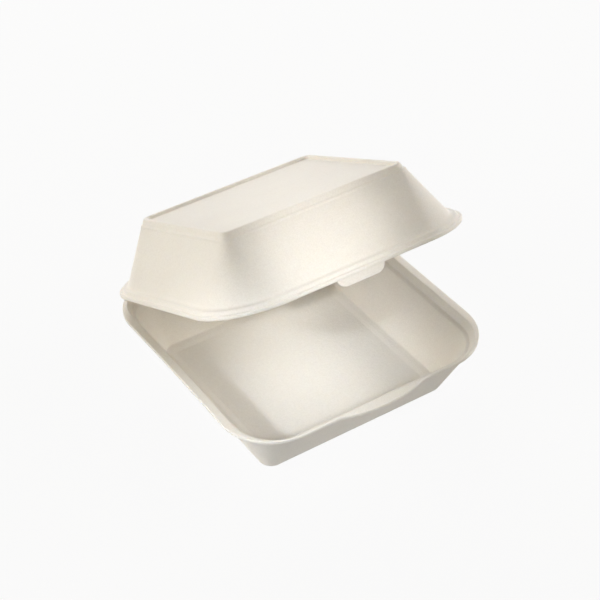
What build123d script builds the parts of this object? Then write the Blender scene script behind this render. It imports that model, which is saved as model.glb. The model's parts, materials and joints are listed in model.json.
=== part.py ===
from build123d import *
import os

os.makedirs("parts", exist_ok=True)

# A hinged clamshell box pressed from one sheet of expanded foam.
# Millimetres. X runs along the hinge, -Y is the front, +Z is up, and the origin is the middle
# of the face that the box rests on. An inset is a distance in from the rim square's edge.

# The rim square, which both halves share
rim_width = 152.0
rim_depth = 152.0

# Base tray, heights from the resting face
base_height = 36.2
base_corner_radius = 30.0
base_flange = 1.8
floor_width = 110.3
floor_depth = 109.2
floor_corner_radius = 6.5
floor_thickness = 2.3
bevel_width = 2.4
bevel_height = 1.3
base_wall = 2.5

# Stepped rim of the base: a flange, a sloped riser and a ledge, above the wall
side_flange = 5.3
end_flange = 1.5
riser_run = 2.0
riser_drop = 2.1
ledge_width = 3.3
ledge_sheet = 1.9
rim_corner_radius = 23.5

# Lid, heights from its own rim plane
lid_height = 36.05
lid_corner_radius = 34.0
lid_flange = 2.0
lid_wall = 2.6
lid_band = 1.6
shoulder_height = 3.8
shoulder_run = 1.0
shoulder_width = 2.7
step_height = 31.4
step_side_inset = 21.8
step_end_inset = 24.6
step_corner_radius = 4.0
step_rise = 1.0
step_lean = 0.2
ledge_rise = 0.8
ledge_run = 1.0
bead_lean = 1.2
bead_width = 2.2
bead_inner_lean = 0.8
recess_depth = 1.75
roof_thickness = 2.2

# Hinge along the back edge, and the angle at which the box stands open
hinge_strip = 2.7
hinge_length = 98.0
hinge_clearance = 0.2
seat_gap = 0.3
open_angle = 26.5

# Front latch: a tongue under the lid tucks into a slit behind the lip of the base
lip_length = 50.5
lip_reach = 4.5
tongue_width = 28.0
tongue_drop = 4.8
tongue_corner_radius = 5.5
tongue_thickness = 1.6
tongue_inset = 1.7
latch_clearance = 0.4

# The fold line, and the frames of the two halves: each lies in the middle of its rim square
hinge_y = rim_depth / 2 + hinge_strip
hinge_z = base_height + seat_gap / 2
fold_line = Location((0, hinge_y, hinge_z), (-open_angle, 0, 0))
base_frame = Plane.XY
lid_frame = Plane(fold_line * Location((0, -hinge_y, seat_gap / 2)))


def tray(frame, levels, mode=Mode.ADD):
    """Stack tapered slices between levels of (height, side inset, end inset, corner radius)."""
    faces = []
    for height, side_inset, end_inset, radius in levels:
        with BuildSketch(frame.offset(height)) as level:
            RectangleRounded(rim_width - 2 * side_inset, rim_depth - 2 * end_inset, radius)
        faces += level.sketch.faces()
    for lower, upper in zip(faces, faces[1:]):
        loft([lower, upper], ruled=True, mode=mode)


def rim_plate(frame, height, thickness, radius):
    """The flange of one half, drawn as a full plate with its strip at the hinge."""
    with BuildSketch(frame.offset(height)) as outline:
        RectangleRounded(rim_width, rim_depth, radius)
        with Locations((0, hinge_y - hinge_clearance)):
            Rectangle(hinge_length, 2 * hinge_strip, align=(Align.CENTER, Align.MAX))
    extrude(outline.sketch, amount=thickness)


# Base tray: where its two skins turn, from the resting face up
floor_side = (rim_width - floor_width) / 2
floor_end = (rim_depth - floor_depth) / 2
ledge_z = base_height - riser_drop
wall_top_z = ledge_z - ledge_sheet
flange_z = base_height - base_flange
riser_side = side_flange + riser_run
riser_end = end_flange + riser_run
base_lean_side = (floor_side - riser_side) / wall_top_z
base_lean_end = (floor_end - riser_end) / wall_top_z
bevel_z = floor_thickness + bevel_height
bevel_side = floor_side - bevel_z * base_lean_side + base_wall
bevel_end = floor_end - bevel_z * base_lean_end + base_wall
floor_plate_radius = floor_corner_radius / 2
riser_radius = rim_corner_radius - riser_run

base_outside = [
    (0, floor_side, floor_end, floor_corner_radius),
    (wall_top_z, riser_side, riser_end, riser_radius),
    (flange_z, side_flange, end_flange, rim_corner_radius),
]
base_inside = [
    (floor_thickness, bevel_side + bevel_width, bevel_end + bevel_width, floor_plate_radius),
    (bevel_z, bevel_side, bevel_end, floor_corner_radius),
    (ledge_z, riser_side + ledge_width, riser_end + ledge_width, riser_radius - ledge_width),
]
base_rim_inside = [
    (ledge_z, riser_side, riser_end, riser_radius),
    (base_height, side_flange, end_flange, rim_corner_radius),
]

with BuildPart() as base_tray:
    rim_plate(base_frame, flange_z, base_flange, base_corner_radius)

    # The lip is a shallow arc that stands out from the front edge
    with BuildSketch(base_frame.offset(flange_z)):
        with BuildLine():
            root = Line((-lip_length / 2, -rim_depth / 2), (lip_length / 2, -rim_depth / 2))
            SagittaArc(root @ 0, root @ 1, -lip_reach)
        make_face()
    extrude(amount=base_flange)

    tray(base_frame, base_outside)
    tray(base_frame, base_inside, mode=Mode.SUBTRACT)
    tray(base_frame, base_rim_inside, mode=Mode.SUBTRACT)

    # The slit goes down through the riser, just behind the lip
    with BuildSketch(base_frame.offset(wall_top_z)):
        with Locations((0, tongue_inset + tongue_thickness / 2 - rim_depth / 2)):
            SlotOverall(tongue_width + 4 * latch_clearance, tongue_thickness + 2 * latch_clearance)
    extrude(amount=base_height - wall_top_z, mode=Mode.SUBTRACT)

base_tray.part.label = "base_tray"
export_step(base_tray.part, "parts/base_tray.step")

# Lid: where its two skins turn, from the rim plane up
lid_riser = lid_band + shoulder_run
wall_foot = lid_riser + shoulder_width
lid_rise = step_height - shoulder_height
lid_lean_side = (step_side_inset - wall_foot) / lid_rise
lid_lean_end = (step_end_inset - wall_foot) / lid_rise
step_top = step_height + step_rise
bead_foot = step_top + ledge_rise
bead_inset = step_lean + ledge_run + bead_lean
recess_z = lid_height - recess_depth
ceiling_z = recess_z - roof_thickness
inner_shoulder_z = shoulder_height - lid_flange
ceiling_rise = ceiling_z - inner_shoulder_z
inner_foot_side = wall_foot - lid_lean_side * lid_flange + lid_wall
inner_foot_end = wall_foot - lid_lean_end * lid_flange + lid_wall


def lid_level(height, inset, radius):
    """A level above the wall: the same inset past the step line on the sides and the ends."""
    return (height, step_side_inset + inset, step_end_inset + inset, radius)


lid_shoulder = [
    (lid_flange, lid_band, lid_band, lid_corner_radius - lid_band),
    (shoulder_height, lid_riser, lid_riser, lid_corner_radius - lid_riser),
]
lid_wall_outside = [
    (shoulder_height, wall_foot, wall_foot, lid_corner_radius - wall_foot),
    lid_level(step_height, 0, step_corner_radius),
]
lid_crown = [
    lid_level(step_height, 0, step_corner_radius),
    lid_level(step_top, step_lean, step_corner_radius),
    lid_level(bead_foot, step_lean + ledge_run, step_corner_radius - ledge_run / 2),
    lid_level(lid_height, bead_inset, step_corner_radius - ledge_run),
]
lid_recess = [
    lid_level(recess_z, bead_inset + bead_width + bead_inner_lean, step_corner_radius / 2),
    lid_level(lid_height, bead_inset + bead_width, step_corner_radius / 2 + bead_inner_lean),
]
lid_wall_inside = [
    (inner_shoulder_z, inner_foot_side, inner_foot_end, lid_corner_radius - inner_foot_side),
    (ceiling_z, inner_foot_side + lid_lean_side * ceiling_rise,
     inner_foot_end + lid_lean_end * ceiling_rise, step_corner_radius),
]
lid_rim_inside = [
    (0, lid_riser + lid_flange, lid_riser + lid_flange, lid_corner_radius - lid_riser - lid_flange),
    (inner_shoulder_z, wall_foot, wall_foot, lid_corner_radius - wall_foot),
]

with BuildPart() as lid:
    rim_plate(lid_frame, 0, lid_flange, lid_corner_radius)
    tray(lid_frame, lid_shoulder)
    tray(lid_frame, lid_wall_outside)
    tray(lid_frame, lid_crown)
    tray(lid_frame, lid_recess, mode=Mode.SUBTRACT)
    tray(lid_frame, lid_wall_inside, mode=Mode.SUBTRACT)
    tray(lid_frame, lid_rim_inside, mode=Mode.SUBTRACT)

    # The tongue hangs from the middle of the front flange, with its lower corners rounded off
    tongue_y = tongue_inset + tongue_thickness - rim_depth / 2
    tongue_plane = Plane(
        lid_frame.from_local_coords(Vector(0, tongue_y, 0)), lid_frame.x_dir, -lid_frame.y_dir
    )
    with BuildSketch(tongue_plane) as tongue:
        with Locations((0, lid_flange / 2)):
            Rectangle(tongue_width, tongue_drop + lid_flange / 2, align=(Align.CENTER, Align.MAX))
        fillet(tongue.vertices().group_by(Axis.Y)[0], tongue_corner_radius)
    extrude(amount=tongue_thickness)

lid.part.label = "lid"
export_step(lid.part, "parts/lid.step")
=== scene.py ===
# %% [markdown]
# # A foam clamshell box
#
# The box is one sheet of expanded foam that a hot mould has pressed into two trays, joined by a
# crease along the back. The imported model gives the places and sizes. This script gives each tray
# its soft mould-rounded skin, then the foam's finish, the light and the camera.

# %% Load the frame
import json
from math import cos, pi, radians, sin, sqrt

import bmesh
import bpy
from mathutils import Matrix, Vector


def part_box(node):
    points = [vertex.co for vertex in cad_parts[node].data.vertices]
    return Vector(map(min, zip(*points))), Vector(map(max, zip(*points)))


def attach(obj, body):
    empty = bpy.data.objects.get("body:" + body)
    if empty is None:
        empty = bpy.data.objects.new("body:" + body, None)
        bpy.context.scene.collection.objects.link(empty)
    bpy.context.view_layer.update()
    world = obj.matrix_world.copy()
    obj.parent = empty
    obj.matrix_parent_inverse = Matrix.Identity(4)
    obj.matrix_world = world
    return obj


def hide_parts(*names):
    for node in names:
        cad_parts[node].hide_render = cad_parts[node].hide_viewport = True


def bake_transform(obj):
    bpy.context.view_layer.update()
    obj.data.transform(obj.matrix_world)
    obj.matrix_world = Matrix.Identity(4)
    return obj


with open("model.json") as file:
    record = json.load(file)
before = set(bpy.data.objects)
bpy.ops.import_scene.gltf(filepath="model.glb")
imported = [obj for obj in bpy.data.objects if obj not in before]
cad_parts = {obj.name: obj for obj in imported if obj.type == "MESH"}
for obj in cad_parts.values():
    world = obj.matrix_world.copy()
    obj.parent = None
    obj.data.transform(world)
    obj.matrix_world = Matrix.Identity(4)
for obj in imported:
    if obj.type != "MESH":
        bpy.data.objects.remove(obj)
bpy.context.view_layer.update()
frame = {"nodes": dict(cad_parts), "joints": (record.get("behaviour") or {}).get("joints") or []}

# %% [markdown]
# ## Where the two trays sit
#
# The skins are drawn in millimetres, as a toolmaker would write them, and one factor turns them
# into metres at the end. The base tray stands on the floor. The lid turns about the crease. Its
# skin could be drawn tilted, where it stands, but then every height would need a turn of its own.
# So it is drawn lying shut, in its own frame, and swung up as a whole by the angle at which the
# box stands open, which is the way from rest back to the shut limit of the hinge.

# %% Frames of the base and the lid
MM = 0.001
base_low, base_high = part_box("base_tray")
hinge = frame["joints"][0]
hinge_point = Vector(hinge["pos_m"]) / MM
open_angle = radians(-hinge["range_deg"][0])
rim_width = (base_high.x - base_low.x) / MM
rim_depth = rim_width
base_height = base_high.z / MM
seat_gap = 2 * (hinge_point.z - base_height)
hinge_gap = hinge_point.y - base_high.y / MM

base_place = Matrix.Identity(4)
lid_place = (
    Matrix.Translation(hinge_point)
    @ Matrix.Rotation(-open_angle, 4, "X")
    @ Matrix.Translation((0, -hinge_point.y, seat_gap / 2))
)
print("rim", round(rim_width, 2), "base height", round(base_height, 2), "hinge", hinge_point)

# %% [markdown]
# ## A skin is a stack of rings
#
# A pressed tray has the same section all the way round, except that its corners open out like
# cones: tight at the floor and wide at the rim. A cage with a subdivision modifier could be used,
# but it thins the wall wherever the sheet bends. So each tray is drawn as one closed section, a
# list of turning points. Every point is a rounded rectangle: its height, how far its sides and
# its ends lie in from the rim square, its corner radius, and how softly the sheet bends there.

# %% Soften the turning points of a section
BEND_STEPS = 6
LONGEST_BEND = 0.48


def between(a, b, share):
    """The level that lies a share of the way from level a to level b."""
    return tuple(p + (q - p) * share for p, q in zip(a, b))


def span(a, b):
    """How far apart two levels are on the section of a side wall."""
    return sqrt((a[0] - b[0]) ** 2 + (a[1] - b[1]) ** 2)


def softened(section):
    """Replace each turning point by a short curve that starts and ends its bend length away."""
    levels = [section[0][:4]]
    for before, here, after in zip(section, section[1:], section[2:]):
        bend = here[4]
        if bend == 0:
            levels.append(here[:4])
            continue
        start = between(here, before, min(LONGEST_BEND, bend / span(here, before)))
        end = between(here, after, min(LONGEST_BEND, bend / span(here, after)))
        for step in range(BEND_STEPS + 1):
            share = step / BEND_STEPS
            first, second = between(start, here, share), between(here, end, share)
            levels.append(between(first, second, share)[:4])
    levels.append(section[-1][:4])
    return levels


right_angle = [(0, 0, 0, 9, 0), (0, 5, 5, 9, 1), (5, 5, 5, 9, 0)]
print("a right angle softens to", len(softened(right_angle)), "levels")

# %% [markdown]
# ## One ring
#
# A ring could be a curve object that Blender turns into a mesh, but the rings of a skin must all
# have the same number of points, so that they can be joined point to point. So the points are
# counted out here: four arcs for the corners, and between them as many steps on every straight.

# %% Points of one ring
CORNER_STEPS = 18
STRAIGHT_STEPS = 64
QUARTERS = [(1, 1), (-1, 1), (-1, -1), (1, -1)]


def ring(level):
    """Points round a rounded rectangle, with the same count on every level."""
    height, side_inset, end_inset, radius = level
    half_x, half_y = rim_width / 2 - side_inset, rim_depth / 2 - end_inset
    corners = []
    for quarter, (sign_x, sign_y) in enumerate(QUARTERS):
        middle = Vector((sign_x * (half_x - radius), sign_y * (half_y - radius), height))
        for step in range(CORNER_STEPS + 1):
            turn = (quarter + step / CORNER_STEPS) * pi / 2
            corners.append(middle + radius * Vector((cos(turn), sin(turn), 0)))
    points = []
    for index, point in enumerate(corners):
        points.append(point)
        if index % (CORNER_STEPS + 1) == CORNER_STEPS:
            following = corners[(index + 1) % len(corners)]
            shares = [step / STRAIGHT_STEPS for step in range(1, STRAIGHT_STEPS)]
            points += [point.lerp(following, share) for share in shares]
    return points


print("points in a ring", len(ring((0, 0, 0, 30))))

# %% [markdown]
# ## Where a tray leaves the plain rectangle
#
# At the back both flanges run on to the crease. At the front of the base the flange runs out in a
# shallow arc, the lip that a thumb lifts. Such a strip could be a piece of its own that is sunk
# into the flange, but its edge would show. Here the outermost rings are moved instead, so the
# sheet stays one piece and simply gets wider. Foam this thin also gives a little: the left side
# of the base draws in at mid-length, most of all at the rim.

# %% Widen the flange and bow the side
LIP_LENGTH = 50.5
LIP_REACH = 4.5
HINGE_LENGTH = 98.0
RIM_BOW = 1.4
BOW_GROWTH = 1.5


def lip_depth(x):
    """How far the lip's arc stands out from the front edge at a place along it."""
    half = LIP_LENGTH / 2
    if abs(x) > half:
        return 0
    arc = (half ** 2 + LIP_REACH ** 2) / (2 * LIP_REACH)
    return sqrt(arc ** 2 - x ** 2) - (arc - LIP_REACH)


def widened(points, edge_room, has_lip):
    """Carry a ring of the flange's outer edge out to the crease, and to the lip's arc."""
    for point in points:
        if point.y > 0 and abs(point.x) < HINGE_LENGTH / 2:
            point.y = hinge_point.y - hinge_gap - edge_room
        if has_lip and point.y < 0:
            point.y -= lip_depth(point.x)
    return points


def bowed(points):
    """Draw the left side in at mid-length, more so the higher the ring lies."""
    for point in points:
        along = max(0, 1 - (2 * point.y / rim_depth) ** 2)
        across = max(0, -2 * point.x / rim_width)
        point.x += RIM_BOW * along * across * (point.z / base_height) ** BOW_GROWTH
    return points


print("the lip stands out", lip_depth(0), "mm in the middle")

# %% [markdown]
# ## From rings to a solid sheet
#
# A thin shell could be thickened with a modifier, but a real pressing has a wall of its own on
# the inside, with other bends than the outside. The section of a tray runs from the middle of one
# face to the middle of the other, so joining the rings in turn and capping both ends gives one
# closed sheet. The slit's knife, the tongue and the crease are made by the same function. Normals
# are smoothed across soft bends and kept sharp at the few edges that are cut.

# %% Join rings, and place what they make
RIM_ZONE = 1.2
SHARP_ANGLE = radians(32)


def joined(name, rings):
    """One closed mesh from rings of points: strips between neighbours and a cap at each end."""
    solid = bmesh.new()
    loops = [[solid.verts.new(point) for point in points] for points in rings]
    for lower, upper in zip(loops, loops[1:]):
        for index in range(len(lower)):
            after = (index + 1) % len(lower)
            solid.faces.new((lower[index], lower[after], upper[after], upper[index]))
    solid.faces.new(list(reversed(loops[0])))
    solid.faces.new(loops[-1])
    bmesh.ops.recalc_face_normals(solid, faces=solid.faces)
    mesh = bpy.data.meshes.new(name)
    solid.to_mesh(mesh)
    solid.free()
    return mesh


def pressed(name, section, is_base):
    """The mesh of a tray. Only the base has the lip and the bowed side."""
    rings = []
    for level in softened(section):
        points = ring(level)
        if max(level[1], level[2]) < RIM_ZONE:
            points = widened(points, level[2], has_lip=is_base)
        rings.append(bowed(points) if is_base else points)
    return joined(name, rings)


def as_piece(mesh, place):
    """Put a mesh that was drawn in millimetres into the scene at its place, in metres."""
    mesh.transform(Matrix.Scale(MM, 4) @ place)
    piece = bpy.data.objects.new(mesh.name, mesh)
    bpy.context.scene.collection.objects.link(piece)
    return piece


def smooth(piece):
    """Smooth shading, with creases only where the sheet really turns sharply."""
    piece.data.shade_smooth()
    piece.data.set_sharp_from_angle(angle=SHARP_ANGLE)
    print(piece.name, "has", len(piece.data.polygons), "faces")


print("rings within", RIM_ZONE, "mm of the rim square belong to the flange's edge")

# %% [markdown]
# ## The base tray
#
# From outside in: the flat underside, the tapered wall, the underside of the flange and its soft
# edge, then the riser down to a narrow ledge, the inner wall, a low bevel, and the floor. Each
# level has two insets, because the flange is wide at the sides and narrow at the front and back.
# The numbers of a level are its height, side inset, end inset, corner radius and bend.

# %% Section of the base tray
FLANGE_EDGE = 0.75
flange_under = base_height - 1.8
ledge = base_height - 5.4
floor_top = 2.3

base_section = [
    (0, 24.0, 24.5, 4.0, 0),
    (0, 20.85, 21.4, 6.5, 1.6),
    (28.8, 6.9, 5.4, 20.5, 1.0),
    (30.4, 5.6, 4.5, 21.5, 1.0),
    (flange_under, 3.6, 1.5, 24.5, 0.6),
    (flange_under, 0, 0, 30.0, FLANGE_EDGE),
    (base_height, 0, 0, 30.0, FLANGE_EDGE),
    (base_height, 4.5, 1.5, 24.6, 0.6),
    (ledge + 0.2, 5.6, 5.0, 22.8, 0.6),
    (ledge - 0.2, 8.0, 7.0, 20.2, 0.8),
    (floor_top + 1.0, 21.7, 21.8, 6.2, 0.8),
    (floor_top + 0.6, 24.8, 24.9, 3.8, 0.4),
    (floor_top, 27.3, 27.4, 2.4, 0.5),
    (floor_top, 33.0, 33.0, 2.0, 0),
]
base_foam = as_piece(pressed("base_foam", base_section, is_base=True), base_place)
print("base tray has", len(base_section), "turning points and", len(softened(base_section)), "rings")

# %% [markdown]
# ## The slit behind the lip
#
# The lid's tongue tucks down through a slit in the riser. The hole could be worked into the rings,
# but they run round the tray and the slit cuts across several of them. A knife punches the real
# one after the pressing, so it is cut the same way here, with a Boolean modifier that is applied
# at once. Its walls stay crisp because they are cut and not moulded.

# %% Cut the slit
TONGUE_WIDTH = 28.0
TONGUE_THICK = 1.6
TONGUE_INSET = 1.7
LATCH_ROOM = 0.4
KNIFE_LOW = 30
KNIFE_HIGH = 40


def slot_outline(half_length, half_width, height):
    """Points round a slot with round ends."""
    outline = []
    for side in (1, -1):
        for step in range(CORNER_STEPS + 1):
            turn = (step / CORNER_STEPS - 0.5) * pi
            along = half_length - half_width + half_width * cos(turn)
            outline.append((side * along, side * half_width * sin(turn), height))
    return outline


def cut(piece, knife):
    """Take one solid out of another and keep only the result."""
    modifier = piece.modifiers.new("cut", "BOOLEAN")
    modifier.operation = "DIFFERENCE"
    modifier.solver = "EXACT"
    modifier.object = knife
    graph = bpy.context.evaluated_depsgraph_get()
    result = bpy.data.meshes.new_from_object(piece.evaluated_get(graph))
    piece.modifiers.clear()
    piece.data = result
    bpy.data.objects.remove(knife)


slit_size = (TONGUE_WIDTH / 2 + 2 * LATCH_ROOM, TONGUE_THICK / 2 + LATCH_ROOM)
slit_y = TONGUE_INSET + TONGUE_THICK / 2 - rim_depth / 2
knife_mesh = joined("knife", [slot_outline(*slit_size, height) for height in (KNIFE_LOW, KNIFE_HIGH)])
cut(base_foam, as_piece(knife_mesh, Matrix.Translation((0, slit_y, 0))))
smooth(base_foam)
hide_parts("base_tray")
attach(base_foam, "base")

# %% [markdown]
# ## The lid
#
# The lid is pressed the other way up, with the same flange. Above its wall it has a fine step,
# then the raised bead on which the next box stacks, and inside the bead the flat roof panel. The
# step and the bead could be drawn with a bump in the finish, but they catch the light at the
# edge of the roof, against the background, so they are folds of the sheet here too.

# %% Section of the lid
LID_EDGE = 0.7
lid_top = 36.05
roof = lid_top - 1.75
ceiling = roof - 2.2

lid_section = [
    (ceiling, 32.0, 34.0, 3.0, 0),
    (ceiling, 24.8, 27.7, 4.0, 1.8),
    (1.8, 6.7, 6.5, 27.3, 0.8),
    (1.8, 5.3, 5.3, 28.7, 0.5),
    (0, 4.6, 4.6, 29.4, 0.5),
    (0, 0, 0, 34.0, LID_EDGE),
    (2.0, 0, 0, 34.0, LID_EDGE),
    (2.0, 1.6, 1.6, 32.4, 0.45),
    (3.8, 2.6, 2.6, 31.4, 0.9),
    (3.8, 5.3, 5.3, 28.7, 1.3),
    (31.4, 21.8, 24.6, 5.2, 0.12),
    (32.4, 22.0, 24.8, 5.2, 0.3),
    (33.2, 22.9, 25.7, 5.0, 0.3),
    (lid_top, 23.9, 26.7, 5.0, 1.0),
    (lid_top, 25.9, 28.7, 3.6, 0.8),
    (roof, 26.6, 29.4, 2.8, 0.35),
    (roof, 34.0, 37.0, 2.0, 0),
]
lid_foam = as_piece(pressed("lid_foam", lid_section, is_base=False), lid_place)
smooth(lid_foam)

# %% [markdown]
# ## The tongue
#
# The tongue hangs from the middle of the lid's front flange. It is the same sheet, cut with two
# rounded corners. It could be cut out of a wider skirt, but it is easier to draw as an outline
# with a thickness. Four outlines run from its front to its back, the outer two a little smaller,
# so that its edge is soft. Its top is sunk into the flange that carries it.

# %% Hang the tongue
TONGUE_DROP = 4.8
TONGUE_CORNER = 5.5
TONGUE_EDGE = 0.35
TONGUE_ROOT = 1.0


def tongue_outline(depth, shrink):
    """The tongue's outline at a depth behind its front face, drawn in by shrink all round."""
    half = TONGUE_WIDTH / 2 - shrink
    corner = TONGUE_CORNER - shrink
    low = shrink - TONGUE_DROP
    right = [(half, TONGUE_ROOT)]
    for step in range(CORNER_STEPS + 1):
        turn = step / CORNER_STEPS * pi / 2
        right.append((half - corner + corner * cos(turn), low + corner * (1 - sin(turn))))
    left = [(-x, height) for x, height in reversed(right)]
    y = TONGUE_INSET - rim_depth / 2 + depth
    return [(x, y, height) for x, height in right + left]


tongue_layers = [
    (0, TONGUE_EDGE),
    (TONGUE_EDGE, 0),
    (TONGUE_THICK - TONGUE_EDGE, 0),
    (TONGUE_THICK, TONGUE_EDGE),
]
tongue_mesh = joined("lid_tongue", [tongue_outline(*layer) for layer in tongue_layers])
lid_tongue = as_piece(tongue_mesh, lid_place)
smooth(lid_tongue)
for piece in (lid_foam, lid_tongue):
    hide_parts("lid")
    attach(piece, "lid")

# %% [markdown]
# ## The living hinge
#
# The crease is the same sheet crushed to a skin. It bends each time the lid moves, so it can't be
# part of the base or of the lid. It is a thin strip of its own that is bent round the fold line
# as the box stands at rest. It follows the base at one edge and the lid at the other.

# %% Make the crease
CREASE_THICK = 0.5
CREASE_GRIP = 0.9
CREASE_STEPS = 12


def crease_outline(x):
    """The strip's section at a place along the hinge: out round the fold line, and back inside."""
    lid_turn = Matrix.Rotation(-open_angle, 3, "X")
    swing = pi - open_angle
    turns = [swing * step / CREASE_STEPS - pi / 2 for step in range(CREASE_STEPS + 1)]
    inside = hinge_gap / 2
    outline = []
    for radius, order in ((inside + CREASE_THICK, 1), (inside, -1)):
        base_end = Vector((0, -CREASE_GRIP, -radius))
        lid_end = lid_turn @ Vector((0, -CREASE_GRIP, radius))
        bend = [Vector((0, radius * cos(turn), radius * sin(turn))) for turn in turns]
        outline += [base_end, *bend, lid_end][::order]
    return [point + hinge_point + Vector((x, 0, 0)) for point in outline]


crease_ends = [crease_outline(x) for x in (-HINGE_LENGTH / 2, HINGE_LENGTH / 2)]
hinge_crease = as_piece(joined("hinge_crease", crease_ends), base_place)
smooth(hinge_crease)

# %% [markdown]
# ## Shader maths in plain Python
#
# Blender's shader sockets are wired node by node. A small class lets a finish be written as
# ordinary sums instead: each operator adds the Math node that does it.

# %% A socket that does sums


def plug(tree, socket, value):
    """Wire a socket to another, or write a plain value on it."""
    if isinstance(value, Wire):
        tree.links.new(value.socket, socket)
    else:
        socket.default_value = value


class Wire:
    """A shader socket with the operators that the finishes need."""

    def __init__(self, tree, socket=None):
        self.tree = tree
        self.socket = socket

    def node(self, kind, settings, sockets):
        """Add a node: its settings first, then the values or wires of its sockets."""
        made = self.tree.nodes.new(kind)
        for name, value in settings.items():
            setattr(made, name, value)
        for socket, value in sockets.items():
            plug(self.tree, made.inputs[socket], value)
        return made

    def wire(self, kind, settings, sockets, output=0):
        """Add a node in the same way, and give one of its outputs as a wire."""
        return Wire(self.tree, self.node(kind, settings, sockets).outputs[output])

    def maths(self, operation, first, second):
        """One Math node on two values or wires."""
        return self.wire("ShaderNodeMath", {"operation": operation}, {0: first, 1: second})

    def __add__(self, other):
        return self.maths("ADD", self, other)

    def __sub__(self, other):
        return self.maths("SUBTRACT", self, other)

    def __rsub__(self, other):
        return self.maths("SUBTRACT", other, self)

    def __mul__(self, other):
        return self.maths("MULTIPLY", self, other)

    __radd__ = __add__
    __rmul__ = __mul__


print("operators ready: + - *")

# %% [markdown]
# ## The foam
#
# Expanded foam sheet is warm white and matt, and covered in cells a fraction of a millimetre
# across. A photograph of foam wrapped round the box could give that, but it would show seams and
# stretch at the corners. Noise in the object's own space has neither. The finest noise makes the
# cells, which speckle and bump the surface, a coarser one the grain, and a broad one the slow
# clouding that comes from uneven heating. Light also soaks a little way in, so it is scattered.

# %% Foam finish
FOAM_COLOUR = (0.93, 0.9, 0.84, 1)
FOAM_SHADE = (0.79, 0.75, 0.69, 1)
CELL_SCALE = 1500.0
GRAIN_SCALE = 420.0
CLOUD_SCALE = 38.0
CELL_BUMP = 0.3
CELL_DEPTH = 0.0003
SOAK_SHARE = 0.2
SOAK_DEPTH = 0.003
SOAK_COLOUR = (1.0, 0.8, 0.55)
SHEEN = 0.2


def noise(start, place, scale, detail, roughness):
    """Noise between 0 and 1, about 0.5 on average."""
    sockets = {"Vector": place, "Scale": scale, "Detail": detail, "Roughness": roughness}
    return start.wire("ShaderNodeTexNoise", {}, sockets)


def foam_material():
    """Matt warm white foam with fine cells and a slow clouding."""
    material = bpy.data.materials.new("foam")
    material.use_nodes = True
    tree = material.node_tree
    shader = tree.nodes["Principled BSDF"]
    start = Wire(tree)
    place = start.wire("ShaderNodeTexCoord", {}, {}, "Object")
    cells = noise(start, place, CELL_SCALE, 2.0, 0.6)
    grain = noise(start, place, GRAIN_SCALE, 3.0, 0.6)
    clouds = noise(start, place, CLOUD_SCALE, 3.0, 0.5)
    speckle = 0.25 * clouds + 0.35 * grain + cells - 0.3
    colours = {0: speckle, 6: FOAM_SHADE, 7: FOAM_COLOUR}
    tint = start.wire("ShaderNodeMix", {"data_type": "RGBA"}, colours, 2)
    pits = {"Strength": CELL_BUMP, "Distance": CELL_DEPTH, "Height": cells + 1.2 * grain}
    plug(tree, shader.inputs["Base Color"], tint)
    plug(tree, shader.inputs["Roughness"], 0.34 + 0.16 * grain)
    plug(tree, shader.inputs["Normal"], start.wire("ShaderNodeBump", {}, pits))
    shader.inputs["Subsurface Weight"].default_value = SOAK_SHARE
    shader.inputs["Subsurface Radius"].default_value = SOAK_COLOUR
    shader.inputs["Subsurface Scale"].default_value = SOAK_DEPTH
    shader.inputs["Specular IOR Level"].default_value = SHEEN
    return material


foam = foam_material()
pieces = [base_foam, lid_foam, lid_tongue, hinge_crease]
for shown in pieces + list(frame["nodes"].values()):
    shown.data.materials.clear()
    shown.data.materials.append(foam)
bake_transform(hinge_crease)
print("foam on", len(pieces), "pieces and", len(frame["nodes"]), "nodes of the packed model")

# %% [markdown]
# ## The ground
#
# The box stands on white paper in a white room. More light on the paper would turn it pure white,
# but it would also bleach the foam. So the paper is partly its own light, and so is the sky, but
# only for rays that come from the camera or by way of something glossy or clear. All other rays
# find plain paper and a nearly dark room, and the paper keeps the box's soft shadow.

# %% Floor and world
FLOOR_HALF = 3.0
FLOOR_GLOW = 0.93
PAPER_COLOUR = (0.5, 0.49, 0.47, 1)
PAPER_ROUGHNESS = 0.9
AMBIENT = 0.03
WHITE = (1, 1, 1, 1)


def seen_directly(tree):
    """1 for rays from the camera, and for those that glossy and clear surfaces send on."""
    path = Wire(tree).node("ShaderNodeLightPath", {}, {})
    names = ("Is Camera Ray", "Is Glossy Ray", "Is Transmission Ray")
    camera, glossy, clear = [Wire(tree, path.outputs[name]) for name in names]
    return camera.maths("MAXIMUM", camera, glossy.maths("MAXIMUM", glossy, clear))


def paper_material():
    """White paper that is partly its own light for the rays that see it directly."""
    material = bpy.data.materials.new("paper")
    material.use_nodes = True
    tree = material.node_tree
    paper = tree.nodes["Principled BSDF"]
    paper.inputs["Base Color"].default_value = PAPER_COLOUR
    paper.inputs["Roughness"].default_value = PAPER_ROUGHNESS
    start = Wire(tree)
    glow = start.wire("ShaderNodeEmission", {}, {"Color": WHITE, "Strength": 1.0})
    share = FLOOR_GLOW * seen_directly(tree)
    mixed = {0: share, 1: Wire(tree, paper.outputs[0]), 2: glow}
    surface = tree.nodes["Material Output"].inputs["Surface"]
    plug(tree, surface, start.wire("ShaderNodeMixShader", {}, mixed))
    return material


floor_corners = [(x * FLOOR_HALF, y * FLOOR_HALF, 0) for x, y in ((-1, -1), (1, -1), (1, 1), (-1, 1))]
floor_mesh = bpy.data.meshes.new("floor")
floor_mesh.from_pydata(floor_corners, [], [(0, 1, 2, 3)])
floor_mesh.materials.append(paper_material())
floor = bpy.data.objects.new("floor", floor_mesh)
bpy.context.scene.collection.objects.link(floor)

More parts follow.
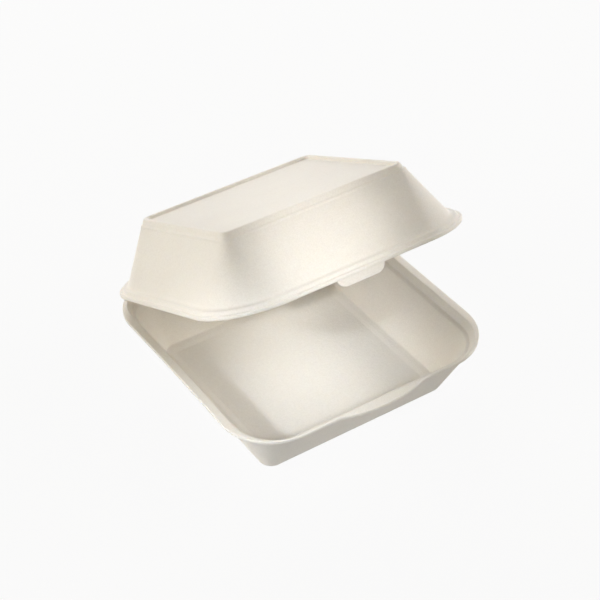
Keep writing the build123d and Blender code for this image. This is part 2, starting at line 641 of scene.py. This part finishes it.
world = bpy.data.worlds.new("studio")
world.use_nodes = True
bpy.context.scene.world = world
sky = world.node_tree.nodes["Background"]
sky.inputs["Color"].default_value = WHITE
sky_light = AMBIENT + (1 - AMBIENT) * seen_directly(world.node_tree)
plug(world.node_tree, sky.inputs["Strength"], sky_light)
print("floor and sky ready, ambient", AMBIENT)

# %% [markdown]
# ## The soft boxes
#
# One bright sky could light the box, but then every wall would look the same. In a light tent the
# lamps stand low, all round, so that the walls are brighter than the flat rims. Five soft boxes
# do that here. Each is given by its azimuth, where 0 is in front and 90 on the right, its
# elevation, its power in watts and its colour.

# %% Soft boxes round the object
TARGET = Vector((0, 0, 0.05))
BOX_DISTANCE = 1.2
BOX_SIZE = 0.6
WARM = (1, 0.92, 0.77)
PLAIN = (1, 0.98, 0.96)
COOL = (0.88, 0.93, 1)
SOFT_BOXES = [
    ("left", -105, 25, 6.2, WARM),
    ("left_low", -105, 5, 4.0, COOL),
    ("back_right", 165, 25, 7.6, PLAIN),
    ("right", 75, 25, 8.2, PLAIN),
    ("front_right", 30, 25, 2.6, WARM),
]


def round_the_box(azimuth, elevation):
    """A place at the soft boxes' distance from the object."""
    turn, lift = radians(azimuth), radians(elevation)
    direction = Vector((sin(turn) * cos(lift), -cos(turn) * cos(lift), sin(lift)))
    return TARGET + BOX_DISTANCE * direction


def hang(lamp, place, target, power, colour):
    """Put a lamp in the scene and turn it to what it lights."""
    lamp.energy = power
    lamp.color = colour
    holder = bpy.data.objects.new(lamp.name, lamp)
    holder.location = place
    holder.rotation_euler = (target - place).to_track_quat("-Z", "Y").to_euler()
    bpy.context.scene.collection.objects.link(holder)


for name, azimuth, elevation, power, colour in SOFT_BOXES:
    lamp = bpy.data.lights.new(name, "AREA")
    lamp.shape = "SQUARE"
    lamp.size = BOX_SIZE
    hang(lamp, round_the_box(azimuth, elevation), TARGET, power, colour)
print("soft boxes", len(SOFT_BOXES))

# %% [markdown]
# ## The glows
#
# The light also pools on the tray's floor, on the lid's front and on its left wall. Brighter soft
# boxes would lift the whole box, so four narrow spots with soft edges do it. Each is given by its
# place, what it points at, the width of its cone in degrees, its power, the radius of its bulb
# and its colour. A small bulb keeps the pool tight, as on the lid, and a large one spreads it.

# %% Spots with soft edges
SPOTS = [
    ("floor_front", (-0.634, -0.387, 0.602), (-0.016, -0.03, 0.002), 5, 46, 0.05, COOL),
    ("floor_back", (-0.323, -0.574, 0.582), (0.01, 0.004, 0.002), 7, 24, 0.05, COOL),
    ("lid_glow", (-0.248, -0.736, 0.756), (-0.007, -0.036, 0.116), 5.5, 20, 0.012, PLAIN),
    ("left_glow", (-0.848, -0.34, 0.452), (-0.068, -0.01, 0.092), 5, 10, 0.05, PLAIN),
]

for name, place, target, cone, power, bulb, colour in SPOTS:
    lamp = bpy.data.lights.new(name, "SPOT")
    lamp.spot_size = radians(cone)
    lamp.spot_blend = 1
    lamp.shadow_soft_size = bulb
    hang(lamp, Vector(place), Vector(target), power, colour)
print("spots", len(SPOTS))

# %% [markdown]
# ## The camera
#
# A camera could be moved by eye until the picture looks right. Here its place, turn and lens were
# worked out from the straight edges and the curved rims of the box in the photograph, so that
# the model's own edges fall on the same places. The place is in millimetres, the turn in degrees.

# %% Camera
CAMERA_PLACE = (-360.2, -578.0, 595.0)
CAMERA_TURN = (51.24, 1.45, -33.21)
CAMERA_LENS = 100.76
CAMERA_FILM = 36

camera_data = bpy.data.cameras.new("camera")
camera_data.lens = CAMERA_LENS
camera_data.sensor_width = CAMERA_FILM
camera = bpy.data.objects.new("camera", camera_data)
camera.location = Vector(CAMERA_PLACE) * MM
camera.rotation_euler = [radians(turn) for turn in CAMERA_TURN]
bpy.context.scene.collection.objects.link(camera)
bpy.context.scene.camera = camera
print("camera at", tuple(round(c, 3) for c in camera.location), "lens", CAMERA_LENS)

# %% [markdown]
# ## The colour view
#
# Colours are shown plainly, with no film look.

# %% Colour view and the end
bpy.context.scene.view_settings.view_transform = "Standard"
